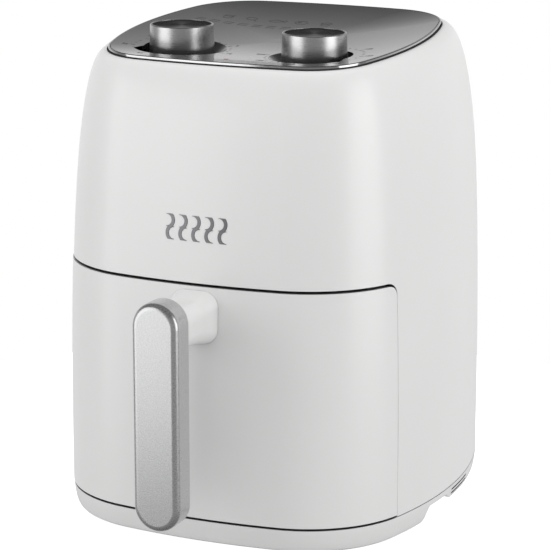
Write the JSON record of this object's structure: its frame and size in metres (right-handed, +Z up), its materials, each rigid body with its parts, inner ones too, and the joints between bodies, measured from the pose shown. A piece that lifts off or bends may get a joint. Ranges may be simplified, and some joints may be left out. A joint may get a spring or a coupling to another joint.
{
  "type": "air fryer",
  "caption": "Countertop hot-air fryer: rounded tapering white body, sloping dark control panel with metal knobs, pull-out drawer with an upright silver bar handle.",
  "frame": {"origin": "middle of the overall footprint, on the worktop under the feet", "axes": "+Z up; -Y is the front, where the handle stands out; +X is to the right as seen from the front, looking along +Y"},
  "size_m": [0.2632, 0.3296, 0.3388],
  "materials": {
    "white_shell": "satin white moulded plastic",
    "base_white": "satin white moulded plastic",
    "frame_black": "matt black plastic",
    "inner_grey": "grey heat-proof plastic",
    "panel_metallic": "glossy dark silver panel",
    "polished_trim": "polished rim",
    "knob_metal": "brushed metal",
    "knob_disc": "dark brushed disc",
    "handle_metal": "satin silver",
    "emblem_silver": "satin silver",
    "seal_rubber": "soft rubber",
    "foot_rubber": "soft rubber",
    "screw_steel": "zinc plated",
    "galvanised": "aluminised steel sheet",
    "element_steel": "annealed element tube",
    "guard_wire": "plated wire",
    "fan_steel": "pressed aluminium",
    "fan_plastic": "moulded nylon",
    "motor_steel": "motor can",
    "insulation": "glass-fibre felt",
    "ceramic": "terminal ceramic",
    "wire_sleeve": "silicone sleeve",
    "nonstick": "non-stick coating",
    "silicone": "silicone",
    "lens_red": "small red lens",
    "lamp_glass": "neon lamp",
    "bell_steel": "bell dome"
  },
  "bodies": {
    "housing": {"outer_shell": "white_shell", "rear_cover": "white_shell", "front_frame": "frame_black", "base_tray": "base_white", "rubber_feet": "foot_rubber", "base_screws": "screw_steel", "cord_gland": "seal_rubber", "emblem": "emblem_silver", "top_panel": "panel_metallic", "panel_trim": "polished_trim", "panel_seal": "seal_rubber", "timer_unit": "galvanised", "timer_bell": "bell_steel", "thermostat_unit": "ceramic", "thermostat_sensor": "element_steel", "control_bracket": "galvanised", "indicator_lens": "lens_red", "indicator_lamp": "lamp_glass", "chamber_hood": "galvanised", "chamber_wall": "galvanised", "insulation_pad": "insulation", "heating_element": "element_steel", "element_clips": "galvanised", "element_guard": "guard_wire", "motor_bracket": "galvanised", "motor": "motor_steel", "exhaust_duct": "galvanised", "thermal_cutout": "ceramic", "terminal_block": "ceramic", "wiring_loom": "wire_sleeve", "interlock_switch": "frame_black", "drawer_rails": "inner_grey"},
    "timer_dial": {"timer_knob": "knob_metal", "timer_knob_cap": "knob_disc", "timer_knob_collar": "seal_rubber", "timer_shaft": "screw_steel"},
    "temperature_dial": {"temperature_knob": "knob_metal", "temperature_knob_cap": "knob_disc", "temperature_knob_collar": "seal_rubber", "temperature_shaft": "screw_steel"},
    "fan_rotor": {"circulation_fan": "fan_steel", "cooling_fan": "fan_plastic", "motor_shaft": "screw_steel"},
    "plunger": {"interlock_plunger": "inner_grey"},
    "drawer": {"drawer_front": "white_shell", "drawer_inner_panel": "inner_grey", "pan": "nonstick", "pan_bracket": "galvanised", "handle_neck": "white_shell", "handle_cover": "handle_metal", "handle_core": "inner_grey", "handle_screws": "screw_steel"},
    "crisper": {"crisper_plate": "nonstick", "plate_bumpers": "silicone"}
  },
  "joints": [
    {"name": "drawer_slide", "type": "slide", "parent": "housing", "child": "drawer", "axis": [0, -1, 0], "range_m": [0, 0.24]},
    {"name": "plate_lift", "type": "slide", "parent": "drawer", "child": "crisper", "axis": [0, 0, 1], "range_m": [0, 0.108]},
    {"name": "timer_turn", "type": "hinge", "parent": "housing", "child": "timer_dial", "pos_m": [-0.04905, -0.0212, 0.33], "axis": [0, 0, -1], "range_deg": [0, 300]},
    {"name": "temperature_turn", "type": "hinge", "parent": "housing", "child": "temperature_dial", "pos_m": [0.04905, -0.0212, 0.33], "axis": [0, 0, -1], "range_deg": [0, 270]},
    {"name": "fan_spin", "type": "hinge", "parent": "housing", "child": "fan_rotor", "pos_m": [0, 0.0207, 0.2], "axis": [0, 0, 1], "continuous": true},
    {"name": "plunger_travel", "type": "slide", "parent": "housing", "child": "plunger", "axis": [0, -1, 0], "range_m": [0, 0.0032]}
  ],
  "couplings": [
    {"joint": "plunger_travel", "follows": "drawer_slide", "ratio": 0.0125}
  ]
}
